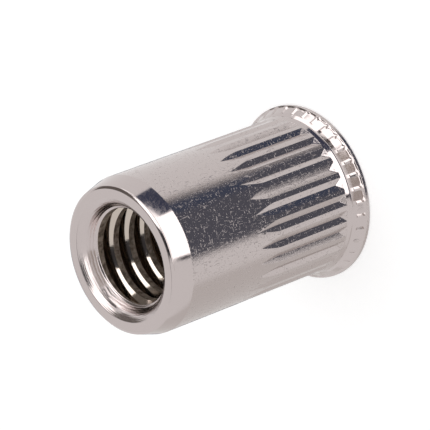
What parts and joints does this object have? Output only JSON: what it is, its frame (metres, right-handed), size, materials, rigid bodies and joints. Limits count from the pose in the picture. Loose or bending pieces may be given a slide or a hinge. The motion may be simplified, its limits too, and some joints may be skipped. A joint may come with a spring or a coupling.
{
  "type": "rivet nut",
  "caption": "Round blind rivet nut with a threaded foot, a splined crush sleeve and a thin reduced countersunk head serrated on its underside.",
  "frame": {"origin": "centre of the head's outer face, on the axis", "axes": "+Z along the axis from the head to the threaded foot, so the nut stands on its head; X and Y square to it, with the first spline groove 2.1 degrees and the first serration 3.6 degrees round from +X"},
  "size_m": [0.0122, 0.0122, 0.0174],
  "materials": {
    "stainless": "bright stainless steel, tumbled, with fine random marks"
  },
  "bodies": {
    "root": {"rivet_nut": "stainless"}
  },
  "joints": []
}
